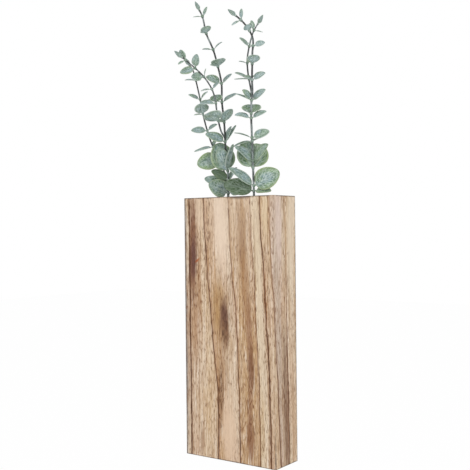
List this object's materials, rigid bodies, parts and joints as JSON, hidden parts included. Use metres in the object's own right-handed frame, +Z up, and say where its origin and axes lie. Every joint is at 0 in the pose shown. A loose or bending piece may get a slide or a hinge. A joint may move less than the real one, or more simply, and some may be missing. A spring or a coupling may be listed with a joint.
{
  "type": "wall vase",
  "caption": "Slim wooden pocket vase that hangs flat on a wall screw, with removable sprays of artificial eucalyptus standing in it.",
  "frame": {"origin": "the point where the wall screw bears: the top of the keyhole's slot, on the plane of the wall", "axes": "+X to the right as seen from the room, +Y into the wall, +Z up"},
  "size_m": [0.125, 0.0771, 0.5304],
  "materials": {
    "board_wood": "torched and brushed, unvarnished, with burnt growth rings",
    "plated_steel": "zinc plated",
    "stem_plastic": "dark moulded stem with a frosted grey-green dusting",
    "leaf_plastic": "sage green with a frosted, bluish centre and a pale rim"
  },
  "bodies": {
    "vase": {"left_side_board": "board_wood", "right_side_board": "board_wood", "front_board": "board_wood", "back_board": "board_wood", "bottom_board": "board_wood", "hanger_plate": "plated_steel", "upper_hanger_screw": "plated_steel", "lower_hanger_screw": "plated_steel"},
    "left_spray": {"left_spray_stem": "stem_plastic", "left_tall_leaves_01": "leaf_plastic", "left_tall_leaves_02": "leaf_plastic", "left_tall_leaves_03": "leaf_plastic", "left_tall_leaves_04": "leaf_plastic", "left_tall_leaves_05": "leaf_plastic", "left_tall_leaves_06": "leaf_plastic", "left_tall_leaves_07": "leaf_plastic", "left_tall_leaves_08": "leaf_plastic", "left_tall_leaves_09": "leaf_plastic", "left_tall_leaves_10": "leaf_plastic", "left_tall_leaves_11": "leaf_plastic", "left_tall_leaves_12": "leaf_plastic", "left_front_leaves_01": "leaf_plastic", "left_front_leaves_02": "leaf_plastic", "left_front_leaves_03": "leaf_plastic", "left_front_leaves_04": "leaf_plastic", "left_front_leaves_05": "leaf_plastic", "left_front_leaves_06": "leaf_plastic", "left_back_leaves_01": "leaf_plastic", "left_back_leaves_02": "leaf_plastic", "left_back_leaves_03": "leaf_plastic", "left_back_leaves_04": "leaf_plastic", "left_back_leaves_05": "leaf_plastic", "left_back_leaves_06": "leaf_plastic", "left_tall_bud": "leaf_plastic", "left_front_bud": "leaf_plastic", "left_back_bud": "leaf_plastic"},
    "right_spray": {"right_spray_stem": "stem_plastic", "right_left_leaves_01": "leaf_plastic", "right_left_leaves_02": "leaf_plastic", "right_left_leaves_03": "leaf_plastic", "right_left_leaves_04": "leaf_plastic", "right_left_leaves_05": "leaf_plastic", "right_left_leaves_06": "leaf_plastic", "right_left_leaves_07": "leaf_plastic", "right_left_leaves_08": "leaf_plastic", "right_left_leaves_09": "leaf_plastic", "right_left_leaves_10": "leaf_plastic", "right_left_leaves_11": "leaf_plastic", "right_left_leaves_12": "leaf_plastic", "right_left_leaves_13": "leaf_plastic", "right_left_leaves_14": "leaf_plastic", "right_back_leaves_01": "leaf_plastic", "right_back_leaves_02": "leaf_plastic", "right_back_leaves_03": "leaf_plastic", "right_back_leaves_04": "leaf_plastic", "right_left_bud": "leaf_plastic", "right_back_bud": "leaf_plastic"}
  },
  "joints": [
    {"name": "left_spray_lift", "type": "slide", "parent": "vase", "child": "left_spray", "axis": [0, 0, 1], "range_m": [0, 0.3]},
    {"name": "right_spray_lift", "type": "slide", "parent": "vase", "child": "right_spray", "axis": [0, 0, 1], "range_m": [0, 0.3]}
  ]
}
